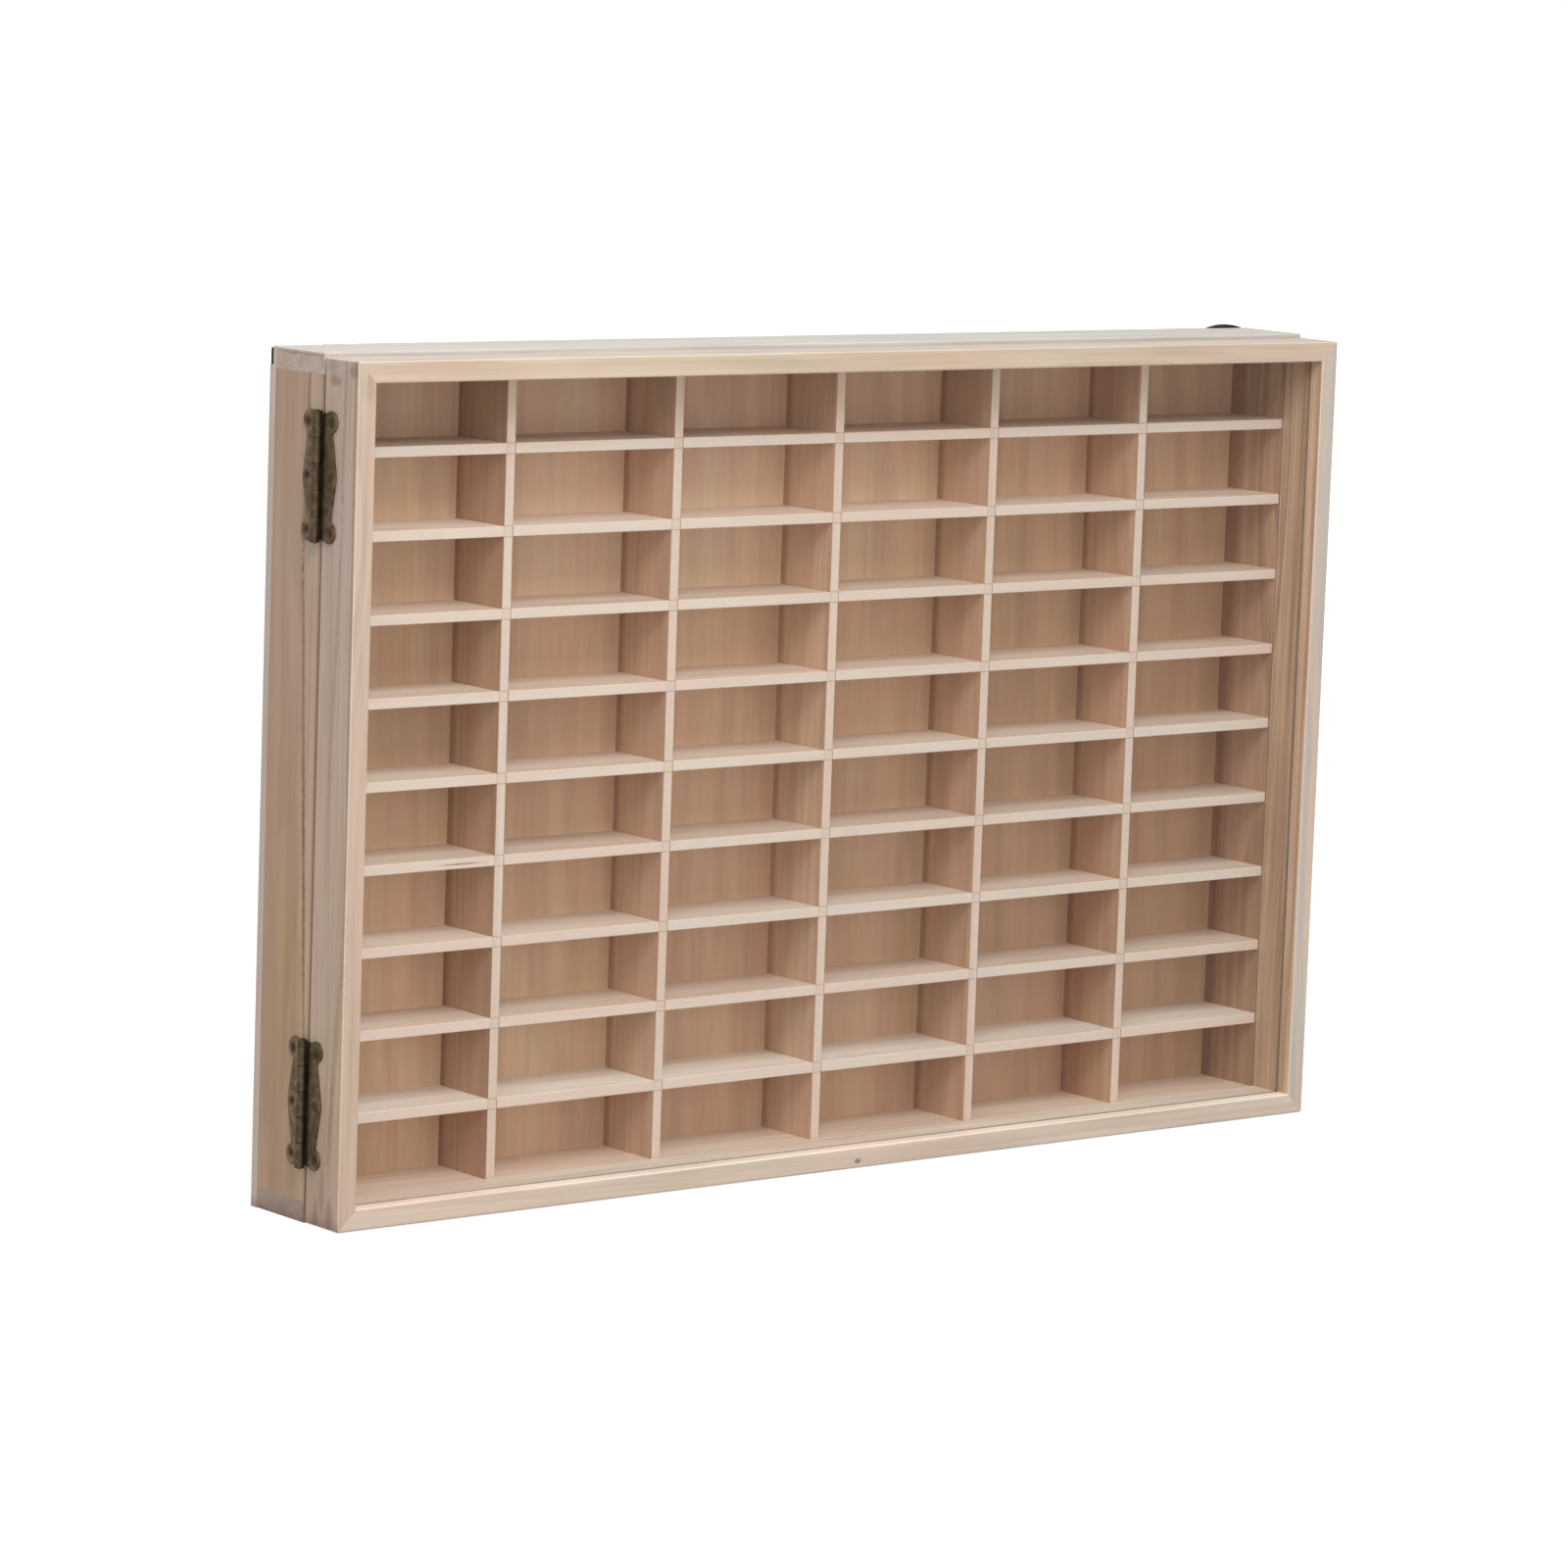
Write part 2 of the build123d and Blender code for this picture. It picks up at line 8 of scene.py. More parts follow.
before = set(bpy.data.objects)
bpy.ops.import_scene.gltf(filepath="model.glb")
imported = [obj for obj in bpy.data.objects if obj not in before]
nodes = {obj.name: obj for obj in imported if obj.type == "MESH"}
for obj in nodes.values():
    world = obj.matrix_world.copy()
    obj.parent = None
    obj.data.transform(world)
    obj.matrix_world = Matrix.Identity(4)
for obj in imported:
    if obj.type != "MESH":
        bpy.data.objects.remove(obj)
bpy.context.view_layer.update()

MM = 0.001

# Places and sizes of the case, in millimetres
LEFT_SIDE = -300.0
MIDDLE_HEIGHT = 200.0
FRAME_FRONT = -35.9
GAP_MIDDLE = -8.5
CASE_FRONT = -8.1
PANEL_FACE = 31.0
PANEL_MIDDLE = 33.4
THIN_BOARD = 5.0
COLUMN_PITCH = 97.5
FIRST_DIVIDER = -195.0
ROW_PITCH = 38.5
LOWEST_SHELF = 46.0

# Half the width and half the height of the opening in the front frame
OPENING_REACH = 290.0
OPENING_RISE = 190.0

# The hinges: their axis, how far they are from the middle height, and their leaves and nails
HINGE_AXIS = -7.2
HINGE_SPACING = 144.0
BARREL_END = 29.0
LEAF_FACE = -301.0
NAIL_REACH = 9.6
NAIL_RISE = 24.6


class Graph:
    """Short calls that add nodes to the node tree of one material or world."""

    def __init__(self, owner):
        owner.use_nodes = True
        self.tree = owner.node_tree
        self.tree.nodes.clear()

    def node(self, kind, **settings):
        made = self.tree.nodes.new(kind)
        for name, value in settings.items():
            setattr(made, name, value)
        return made

    def put(self, socket, value):
        if isinstance(value, bpy.types.NodeSocket):
            self.tree.links.new(value, socket)
        elif value is not None:
            socket.default_value = value

    def math(self, operation, a, b=None, c=None, clamp=False):
        made = self.node("ShaderNodeMath", operation=operation, use_clamp=clamp)
        for socket, value in zip(made.inputs, (a, b, c)):
            self.put(socket, value)
        return made.outputs[0]

    def times(self, a, b):
        return self.math("MULTIPLY", a, b)

    def apart(self, a, b):
        """How far a and b are apart."""
        return self.math("ABSOLUTE", self.math("SUBTRACT", a, b))

    def centred(self, noise):
        """A noise of 0 to 1, moved to lie round 0."""
        return self.math("SUBTRACT", noise, 0.5)

    def length(self, x, y, z):
        made = self.node("ShaderNodeVectorMath", operation="LENGTH")
        self.put(made.inputs[0], self.join(x, y, z))
        return made.outputs["Value"]

    def millimetres(self, place):
        """The object's own coordinates in millimetres. They follow the body, not the camera."""
        made = self.node("ShaderNodeVectorMath", operation="SCALE")
        self.put(made.inputs[0], place.outputs["Object"])
        self.put(made.inputs["Scale"], 1 / MM)
        return made.outputs["Vector"]

    def split(self, vector):
        made = self.node("ShaderNodeSeparateXYZ")
        self.put(made.inputs[0], vector)
        return made.outputs

    def join(self, x, y, z):
        made = self.node("ShaderNodeCombineXYZ")
        for socket, value in zip(made.inputs, (x, y, z)):
            self.put(socket, value)
        return made.outputs[0]

    def noise(self, place, scale, detail, roughness, dimensions="3D", colour=False):
        made = self.node("ShaderNodeTexNoise", noise_dimensions=dimensions)
        self.put(made.inputs["W" if dimensions == "1D" else "Vector"], place)
        self.put(made.inputs["Scale"], scale)
        self.put(made.inputs["Detail"], detail)
        self.put(made.inputs["Roughness"], roughness)
        return made.outputs["Color" if colour else "Fac"]

    def band(self, value, low, high, to_low=0.0, to_high=1.0):
        """A smooth step of value from low to high."""
        made = self.node("ShaderNodeMapRange", interpolation_type="SMOOTHSTEP")
        for name, number in (
            ("Value", value),
            ("From Min", low),
            ("From Max", high),
            ("To Min", to_low),
            ("To Max", to_high),
        ):
            self.put(made.inputs[name], number)
        return made.outputs["Result"]

    def mix(self, share, a, b, blend="MIX"):
        made = self.node("ShaderNodeMix", data_type="RGBA", blend_type=blend)
        colours = [s for s in made.inputs if s.type == "RGBA"]
        self.put(made.inputs["Factor"], share)
        self.put(colours[0], a)
        self.put(colours[1], b)
        return [s for s in made.outputs if s.type == "RGBA"][0]

    def stain(self, share, colour, tint):
        """The colour multiplied by the tint, to the given share."""
        return self.mix(share, colour, tint, "MULTIPLY")

    def bump(self, height, distance):
        made = self.node("ShaderNodeBump")
        made.inputs["Strength"].default_value = 0.5
        made.inputs["Distance"].default_value = distance
        self.put(made.inputs["Height"], height)
        return made.outputs["Normal"]

    def blend_shaders(self, share, first, second):
        made = self.node("ShaderNodeMixShader")
        for socket, value in zip(made.inputs, (share, first.outputs[0], second.outputs[0])):
            self.put(socket, value)
        return made

    def seen(self):
        """1 for rays from the camera, in gloss and through the pane, and 0 for other light."""
        ray = self.node("ShaderNodeLightPath").outputs
        seen = self.math("MAXIMUM", ray["Is Camera Ray"], ray["Is Glossy Ray"])
        return self.math("MAXIMUM", seen, ray["Is Transmission Ray"])

    def finish(self, kind, surface):
        output = self.node(kind)
        self.put(output.inputs["Surface"], surface.outputs[0])


def rgb(red, green, blue):
    return (red, green, blue, 1.0)


def tinted(colour, tint):
    return rgb(*(share * part for share, part in zip(tint, colour)))


def shader(name):
    """A new material with its graph and its Principled shader."""
    material = bpy.data.materials.new(name)
    graph = Graph(material)
    surface = graph.node("ShaderNodeBsdfPrincipled")
    graph.finish("ShaderNodeOutputMaterial", surface)
    return material, graph, surface


# The noises in the wood, as (share of the length kept along the grain, scale, detail, roughness).
# Their places are in millimetres, so a scale of 0.1 gives a pattern of about 10 mm.
PATTERNS = {
    "drift": (0.16, 0.016, 2.0, 0.45),
    "waver": (0.16, 0.13, 2.0, 0.5),
    "fibre": (0.02, 1.1, 4.0, 0.62),
    "hair": (0.035, 5.0, 2.0, 0.6),
    "patch": (0.13, 0.055, 3.0, 0.55),
    "second_patch": (0.2, 0.05, 2.0, 0.5),
    "stripe": (0.012, 0.33, 2.0, 0.55),
    "wide": (0.09, 0.075, 3.0, 0.55),
    "ragged": (1.0, 0.3, 2.0, 0.6),
    "blotch": (1.0, 0.12, 4.0, 0.6),
    "pores": (1.0, 2.4, 2.0, 0.7),
}
SECOND_PATCH_ASIDE = 311.0
WIDE_SLOPE = 0.05

# How far the rings wander and waver, in millimetres, and how uneven they are, in ring widths
RING_DRIFT = 26.0
RING_WAVER = 1.4
RING_UNEVEN = 2.6

# How much each pattern darkens a board whose streaks are 1
STRIPE_SHARE = 0.55
FIBRE_SHARE = 0.9
HAIR_SHARE = 0.25

# The outline of a mark is ragged by this many millimetres, or by this share of a small mark
RAGGED_REACH = 5.4
RAGGED_MOST = 0.9

# Tints of patches and dust, and of painted shade and highlights
PINKER = rgb(1.0, 0.92, 0.92)
YELLOWER = rgb(0.98, 0.97, 0.86)
BLUER = rgb(0.9, 0.92, 0.95)
EDGE_PINKER = rgb(1.0, 0.94, 0.93)
JOINT_DUST = rgb(0.66, 0.55, 0.47)
RUBBED_AND_HIGHLIT = rgb(0.8, 0.69, 0.6)
FOOT_SHADE = rgb(0.66, 0.6, 0.56)
SEAM_SHADE = rgb(0.68, 0.61, 0.56)
SEAM_EDGE_SHADE = rgb(0.4, 0.33, 0.28)
BARREL_SHADE = rgb(0.07, 0.048, 0.024)
END_GREY = (0.93, 0.98, 1.06)
END_DARKER = 0.78


def softwood(
    name,
    grain,
    pith,
    light,
    dark,
    spacing=3.0,
    rings=0.5,
    streaks=0.5,
    bands=0.4,
    shift=(0.0, 0.0, 0.0),
    front=None,
    crossing=None,
    upper=None,
    under=None,
    sides=None,
    ends=END_GREY,
    seam=False,
    marks=(),
):
    """A board sawn from a log, as a material.

    The pattern is rings round a pith that lies outside the board, drawn out along the grain, so
    that long faces show lines or arches, and end faces show arcs. u and v run across the grain,
    and w along it, in millimetres.
    """
    material, g, surface = shader(name)
    place = g.node("ShaderNodeTexCoord")
    x, depth, height = g.split(g.millimetres(place))
    normal = g.split(place.outputs["Normal"])
    axes = (depth, height, x) if grain == "X" else (x, depth, height)
    u, v, w = (g.math("ADD", axis, step) for axis, step in zip(axes, shift))

    def pattern(kind, across=u, colour=False):
        keep, scale, detail, roughness = PATTERNS[kind]
        spot = g.join(across, v, g.times(w, keep))
        return g.noise(spot, scale, detail, roughness, colour=colour)

    # the rings wander slowly along the board, and waver a little
    drift_u, drift_v, _ = g.split(pattern("drift", colour=True))
    waver = pattern("waver")
    ring_u = g.math("MULTIPLY_ADD", g.centred(drift_u), RING_DRIFT, g.math("SUBTRACT", u, pith[0]))
    ring_v = g.math("MULTIPLY_ADD", g.centred(drift_v), RING_DRIFT, g.math("SUBTRACT", v, pith[1]))
    radius = g.math("MULTIPLY_ADD", waver, RING_WAVER, g.length(ring_u, ring_v, 0.0))
    uneven = g.noise(radius, 0.11, 1.0, 0.5, dimensions="1D")
    radius = g.math("MULTIPLY_ADD", uneven, RING_UNEVEN * spacing, radius)
    turns = g.math("DIVIDE", radius, spacing)
    inside = g.math("FRACT", turns)
    late = g.times(g.band(inside, 0.1, 0.85), g.band(inside, 0.88, 1.0, 1.0, 0.0))
    each = g.node("ShaderNodeTexWhiteNoise", noise_dimensions="1D")
    g.put(each.inputs["W"], g.math("FLOOR", turns))
    late = g.times(late, g.math("MULTIPLY_ADD", each.outputs["Value"], 0.8, 0.2))

    # fibres, wide bands along the grain, and broad patches of pink, straw and grey
    fibre = pattern("fibre")
    hair = pattern("hair")
    patch = pattern("patch")
    second_patch = pattern("second_patch", across=g.math("ADD", u, SECOND_PATCH_ASIDE))
    stripe = pattern("stripe")
    wide = pattern("wide", across=g.math("MULTIPLY_ADD", w, WIDE_SLOPE, u))
    shade = g.times(late, rings)
    shade = g.math("MULTIPLY_ADD", g.band(stripe, 0.42, 0.72), STRIPE_SHARE * streaks, shade)
    shade = g.math("MULTIPLY_ADD", g.band(wide, 0.36, 0.68), bands, shade)
    shade = g.math("MULTIPLY_ADD", g.centred(fibre), FIBRE_SHARE * streaks, shade)
    shade = g.math("MULTIPLY_ADD", g.centred(hair), HAIR_SHARE * streaks, shade, clamp=True)
    colour = g.mix(shade, light, dark)
    colour = g.stain(g.band(patch, 0.42, 0.66, 0.0, 0.8), colour, PINKER)
    colour = g.stain(g.band(patch, 0.3, 0.46, 0.7, 0.0), colour, YELLOWER)
    colour = g.stain(g.band(second_patch, 0.5, 0.7, 0.0, 0.7), colour, BLUER)

    # the front edge of a thin board, or a front face of another tone, sanded by itself
    if front:
        forward = g.band(g.times(normal[1], -1.0), 0.3, 0.8)
        front_colour = g.mix(g.times(shade, 0.6), front, light)
        front_colour = g.stain(g.band(patch, 0.44, 0.6), front_colour, EDGE_PINKER)
        colour = g.mix(forward, colour, front_colour)

    # the faces that look up and down get their own tint: painted light on up-facing faces inside
    # the frame, and a painted sheen on tops seen at a grazing angle
    if upper:
        colour = g.stain(g.band(normal[2], 0.4, 0.9), colour, upper)
    if under:
        colour = g.stain(g.band(normal[2], -0.4, -0.9), colour, under)

    # the cut sides of a plywood sheet, with a darker ply in the middle
    if sides:
        sideways = g.band(g.math("ABSOLUTE", normal[0]), 0.5, 0.85)
        ply = g.band(g.apart(v, PANEL_MIDDLE), 0.7, 1.1, 0.35, 0.0)
        darker = g.math("MULTIPLY_ADD", shade, 0.4, ply, clamp=True)
        side_colour = g.mix(darker, sides, g.mix(0.5, sides, dark))
        colour = g.mix(sideways, colour, side_colour)

    # dust in the joint lines where a thin board crosses others, as (pitch, middle of the first)
    if crossing:
        pitch, middle = crossing
        start = middle + shift[2] - pitch / 2
        within = g.math("FRACT", g.math("DIVIDE", g.math("SUBTRACT", w, start), pitch))
        from_middle = g.apart(g.times(within, pitch), pitch / 2)
        from_joint = g.apart(from_middle, THIN_BOARD / 2)
        line = g.times(g.band(from_joint, 0.12, 0.4, 0.75, 0.0), forward)
        colour = g.stain(line, colour, JOINT_DUST)

    # marks: streaks, lines, knots and patches of painted light and shade at given places, as
    # (centre, half size, lean, tint, share)
    ragged = g.centred(pattern("ragged"))
    wander = g.centred(waver)
    for centre, half, lean, tint, share in marks:
        up = g.math("SUBTRACT", w, centre[2] + shift[2])
        away = []
        for axis, across in enumerate((u, v)):
            off = g.math("SUBTRACT", across, centre[axis] + shift[axis])
            off = g.math("SUBTRACT", off, g.times(up, lean[axis]))
            away.append(g.math("DIVIDE", g.math("ADD", wander, off), half[axis]))
        away = g.length(*away, g.math("DIVIDE", up, half[2]))
        uneven = min(RAGGED_MOST, RAGGED_REACH / sorted(half)[1])
        near = g.math("MULTIPLY_ADD", ragged, uneven, away)
        colour = g.stain(g.band(near, 0.3, 1.0, share, 0.0), colour, tint)

    # end faces are greyer and a little blotchy, with open pores
    end = g.band(g.math("ABSOLUTE", normal[0] if grain == "X" else normal[2]), 0.55, 0.9)
    pores = pattern("pores")
    blotch = g.band(pattern("blotch"), 0.4, 0.72)
    darker = g.math("MULTIPLY_ADD", g.centred(pores), 0.5, blotch, clamp=True)
    end_colour = g.mix(darker, rgb(*ends), rgb(*(END_DARKER * part for part in ends)))
    colour = g.stain(end, colour, end_colour)

    # eased edges are painted lighter, a painted highlight where they catch the light together with
    # rubbed wood, but not at the foot or beside the gap between box and frame
    across, ahead, upright = (g.math("ABSOLUTE", part) for part in normal)
    most = g.math("MAXIMUM", across, g.math("MAXIMUM", ahead, upright))
    from_gap = g.apart(depth, GAP_MIDDLE)
    eased = g.times(g.band(most, 0.8, 0.98, 0.4, 0.0), g.band(from_gap, 1.0, 1.8))
    eased = g.times(eased, g.band(height, 1.2, 3.0))
    colour = g.mix(eased, colour, RUBBED_AND_HIGHLIT)

    # painted contact shade at the foot, most of it on the ends
    foot = g.times(g.band(height, 0.0, 7.5, 0.95, 0.0), g.band(across, 0.4, 0.8))
    foot = g.math("MAXIMUM", foot, g.band(height, 0.3, 1.5, 0.4, 0.0))
    colour = g.stain(foot, colour, FOOT_SHADE)

    # painted shade on the outside beside the gap, and painted shade behind the barrels of the
    # hinges
    if seam:
        outside = g.band(x, LEFT_SIDE + 5.0, LEFT_SIDE + 3.0)
        beside = g.times(g.band(from_gap, 0.5, 2.6, 0.6, 0.0), g.band(across, 0.1, 0.5))
        colour = g.stain(beside, colour, SEAM_SHADE)
        edge = g.times(g.band(from_gap, 0.7, 1.1, 0.5, 0.0), outside)
        colour = g.stain(edge, colour, SEAM_EDGE_SHADE)
        # painted shade: the wood seen through the hinges' knuckles behind the barrels is made
        # nearly black
        rise = g.apart(g.apart(height, MIDDLE_HEIGHT), HINGE_SPACING)
        beside = g.apart(depth, HINGE_AXIS - 1.4)
        barrel_shade = g.times(
            g.band(rise, BARREL_END - 0.6, BARREL_END + 0.6, 1.0, 0.0),
            g.band(beside, 1.8, 3.0, 0.97, 0.0),
        )
        colour = g.stain(g.times(barrel_shade, outside), colour, BARREL_SHADE)

    g.put(surface.inputs["Base Color"], colour)
    rough = g.math("MULTIPLY_ADD", fibre, 0.16, 0.5)
    g.put(surface.inputs["Roughness"], g.math("MULTIPLY_ADD", end, 0.15, rough))
    surface.inputs["Specular IOR Level"].default_value = 0.45
    relief = g.math("MULTIPLY_ADD", hair, 0.5, g.math("MULTIPLY_ADD", late, 0.5, fibre))
    relief = g.math("MULTIPLY_ADD", g.times(end, pores), 1.2, relief)
    g.put(surface.inputs["Normal"], g.bump(relief, 0.12 * MM))
    return material


# Early and late wood of each kind of board
LIGHT = rgb(0.60, 0.475, 0.375)
DARK = rgb(0.43, 0.31, 0.225)
PALE = rgb(0.824, 0.695, 0.584)
PALE_DARK = rgb(0.664, 0.514, 0.404)
UPRIGHT = rgb(0.651, 0.441, 0.304)
UPRIGHT_DARK = rgb(0.484, 0.289, 0.185)
STILE = rgb(0.558, 0.425, 0.33)
STILE_DARK = rgb(0.4, 0.276, 0.198)
RIGHT = rgb(0.6, 0.395, 0.27)
RIGHT_DARK = rgb(0.42, 0.245, 0.155)
BROWN = rgb(0.808, 0.566, 0.383)
BROWN_DARK = rgb(0.62, 0.396, 0.257)
TAN = rgb(0.484, 0.328, 0.224)
TAN_DARK = rgb(0.353, 0.223, 0.142)
WARM = rgb(0.72, 0.53, 0.375)
WARM_DARK = rgb(0.45, 0.29, 0.186)
# painted sheen: the top board's colours are whitened and greyed for the grazing reflection of the
# white surroundings on its top
SHEEN_CREAM = rgb(0.59, 0.58, 0.53)
SHEEN_CREAM_DARK = rgb(0.465, 0.412, 0.35)
STRAW = rgb(0.618, 0.504, 0.379)
STRAW_DARK = rgb(0.443, 0.329, 0.227)
DRY = rgb(0.642, 0.537, 0.435)
DRY_DARK = rgb(0.46, 0.35, 0.261)

# Colours of single faces, and tints of faces that look up or down: painted light and painted
# sheen, and on the top board's underside a tint that takes the sheen back
EDGE = rgb(0.759, 0.624, 0.536)
PLY = rgb(0.53, 0.46, 0.397)
STILE_FACE = rgb(0.44, 0.425, 0.395)
# painted light: the up-facing faces of the bottom board and the bottom rail are made lighter, as
# if more light fell on them from above
LIT_UPPER = rgb(1.46, 1.52, 1.6)
LIT_RAIL_UPPER = rgb(1.44, 1.52, 1.64)
# painted sheen: the top of the top rail is made whiter and bluer, for the grazing reflection of
# the white surroundings
RAIL_TOP_SHEEN = rgb(0.98, 1.05, 1.21)
PANEL_TOP = rgb(0.88, 1.14, 1.45)
TOP_UNDER = rgb(1.13, 0.77, 0.58)

# Tints of marks
STREAK = rgb(0.62, 0.51, 0.43)
BLOT = rgb(0.6, 0.55, 0.54)
# painted shade in the back corners of the cells
CORNER_SHADE = rgb(0.66, 0.58, 0.53)
# darker streaks in the wood, and a painted shade line along an edge
DUSKY_STREAK_AND_SHADE = rgb(0.79, 0.73, 0.67)
OLIVE = rgb(0.93, 0.88, 0.68)
RUSTY = rgb(0.86, 0.74, 0.64)
GREY_SMEAR = rgb(0.86, 0.85, 0.85)
GREYER = rgb(1.0, 1.04, 1.12)
GREYED = rgb(0.99, 1.03, 1.09)
BROWNED = rgb(0.99, 0.95, 0.88)
PALER = rgb(1.12, 1.22, 1.28)
LEVEL = (0, 0)

# Marks on the boards. Centre and half size are given across, across and along the grain.
left_board_marks = (
    ((LEFT_SIDE, 0, 330), (40, 60, 190), LEVEL, GREYED, 1.0),
    ((LEFT_SIDE, 14, 90), (40, 40, 170), LEVEL, BROWNED, 1.0),
    ((LEFT_SIDE, -3.2, 220), (14, 9.0, 420), (0, 0.012), PALER, 1.0),
    ((LEFT_SIDE, 3.6, 366), (6, 2.2, 95), (0, -0.022), STREAK, 0.9),
    ((LEFT_SIDE, 2.0, 235), (6, 2.0, 130), (0, 0.043), STREAK, 1.0),
    ((LEFT_SIDE, -2.2, 136), (6, 1.8, 95), (0, 0.043), STREAK, 1.0),
)
left_stile_marks = (
    ((LEFT_SIDE, -20, 330), (9, 60, 190), LEVEL, GREYED, 1.0),
    ((LEFT_SIDE, -20, 18), (9, 40, 60), LEVEL, rgb(0.93, 0.88, 0.87), 1.0),
    ((LEFT_SIDE, FRAME_FRONT, 340), (22, 6, 120), LEVEL, rgb(1.02, 1.07, 1.04), 1.0),
    ((LEFT_SIDE, -22, 399), (5, 22, 12), LEVEL, GREYER, 1.0),
    ((LEFT_SIDE, -17.5, 388.0), (6, 6.5, 3.6), (0, 0.3), BLOT, 0.85),
    ((LEFT_SIDE, -15.5, 394.5), (6, 6.0, 6.0), LEVEL, BLOT, 0.5),
    ((LEFT_SIDE, -32.0, 393.8), (5, 4.2, 5.2), LEVEL, BLOT, 0.85),
    ((LEFT_SIDE, -33.6, 366), (3, 2.0, 70), LEVEL, OLIVE, 1.0),
    # a painted shade line along the front edge of the side; the three marks after it are darker
    # streaks in the wood
    ((LEFT_SIDE, -34.2, 300), (3, 1.4, 320), (0, 0.004), DUSKY_STREAK_AND_SHADE, 0.9),
    ((LEFT_SIDE, -25.6, 374), (5, 2.0, 60), (0, -0.02), DUSKY_STREAK_AND_SHADE, 0.9),
    ((LEFT_SIDE, -23.0, 268), (6, 2.4, 90), (0, -0.045), DUSKY_STREAK_AND_SHADE, 0.9),
    ((LEFT_SIDE, -30.6, 88), (6, 3.0, 70), (0, -0.08), DUSKY_STREAK_AND_SHADE, 0.9),
    ((LEFT_SIDE, -28.2, 48), (6, 3.0, 34), (0, -0.04), RUSTY, 0.9),
    ((LEFT_SIDE, -22.0, 18), (5, 3.0, 16), LEVEL, BLOT, 0.55),
    ((LEFT_SIDE, -17.3, 4), (5, 3.4, 12), LEVEL, BLOT, 0.75),
    ((LEFT_SIDE, -28.4, 5), (5, 4.6, 13), LEVEL, BLOT, 0.8),
    ((-294, FRAME_FRONT, 386), (7, 5, 9), LEVEL, GREY_SMEAR, 0.8),
)
# painted shade in the back corner of the cells, and painted shade over the lower part of the board
right_board_marks = (
    ((290, PANEL_FACE, 200), (6, 13, 900), LEVEL, CORNER_SHADE, 0.9),
    ((290, 10, 40), (9, 60, 120), LEVEL, rgb(0.86, 0.82, 0.74), 1.0),
)
# painted light and shade on the back panel: lighter in the top rows, where the top rail and top
# board shade them, and at the lower left; darker in the middle left and to the lower right
panel_marks = (
    ((-60, PANEL_FACE, 385), (460, 5.2, 40), LEVEL, rgb(1.2, 1.22, 1.26), 1.0),
    ((-150, PANEL_FACE, 330), (190, 5.2, 110), LEVEL, rgb(1.0, 1.05, 1.1), 1.0),
    ((0, PANEL_FACE, 318), (150, 5.2, 62), LEVEL, rgb(1.12, 1.2, 1.25), 1.0),
    ((-215, PANEL_FACE, 225), (140, 5.2, 56), LEVEL, rgb(0.85, 0.84, 0.83), 1.0),
    ((-200, PANEL_FACE, 70), (160, 5.2, 90), LEVEL, rgb(1.08, 1.1, 1.1), 1.0),
    ((150, PANEL_FACE, 130), (70, 5.2, 330), LEVEL, rgb(0.92, 0.9, 0.87), 1.0),
    ((310, PANEL_FACE, 120), (150, 5.2, 340), LEVEL, rgb(0.89, 0.85, 0.79), 1.0),
)
bottom_rail_marks = (
    ((FRAME_FRONT, 3.9, 4.9), (5, 1.6, 2.6), LEVEL, rgb(0.42, 0.3, 0.23), 0.95),
)
top_board_marks = (((11, 398.2, LEFT_SIDE), (26, 0.6, 4), LEVEL, rgb(0.6, 0.54, 0.52), 0.8),)
marked_shelf = 4
shelf_marks = (
    ((CASE_FRONT, 161.3, -217.8), (3.0, 0.55, 19), LEVEL, rgb(0.52, 0.4, 0.34), 0.95),
)

boards = {
    "frame_top_rail": dict(
        grain="X",
        pith=(40, 330),
        light=STRAW,
        dark=STRAW_DARK,
        rings=0.3,
        streaks=0.4,
        upper=RAIL_TOP_SHEEN,
    ),
    "frame_bottom_rail": dict(
        grain="X",
        pith=(-70, 60),
        light=DRY,
        dark=DRY_DARK,
        rings=0.3,
        streaks=0.45,
        upper=LIT_RAIL_UPPER,
        marks=bottom_rail_marks,
    ),
    "frame_left_stile": dict(
        grain="Z",
        pith=(-260, 40),
        light=STILE,
        dark=STILE_DARK,
        rings=0.4,
        streaks=0.45,
        seam=True,
        marks=left_stile_marks,
    ),
    "frame_right_stile": dict(
        grain="Z",
        pith=(330, 25),
        light=WARM,
        dark=WARM_DARK,
        rings=0.7,
        streaks=0.8,
        front=STILE_FACE,
    ),
    "case_top_board": dict(
        grain="X",
        pith=(60, 460),
        light=SHEEN_CREAM,
        dark=SHEEN_CREAM_DARK,
        rings=0.3,
        streaks=0.35,
        # the underside takes the painted sheen back to a warm wood colour
        under=TOP_UNDER,
        ends=(1.0, 0.84, 0.78),
        marks=top_board_marks,
    ),
    "case_bottom_board": dict(
        grain="X",
        pith=(60, -60),
        light=LIGHT,
        dark=DARK,
        rings=0.3,
        streaks=0.4,
        upper=LIT_UPPER,
        ends=(0.78, 0.76, 0.81),
        seam=True,
    ),
    "case_left_board": dict(
        grain="Z",
        pith=(-340, 20),
        light=TAN,
        dark=TAN_DARK,
        rings=0.3,
        streaks=0.4,
        seam=True,
        marks=left_board_marks,
    ),
    "case_right_board": dict(
        grain="Z",
        pith=(340, -20),
        light=RIGHT,
        dark=RIGHT_DARK,
        rings=0.7,
        streaks=0.7,
        marks=right_board_marks,
    ),
    "back_panel": dict(
        grain="Z",
        pith=(20, 130),
        light=BROWN,
        dark=BROWN_DARK,
        rings=0.16,
        streaks=0.3,
        bands=0.5,
        spacing=7.0,
        upper=PANEL_TOP,
        sides=PLY,
        marks=panel_marks,
    ),
}

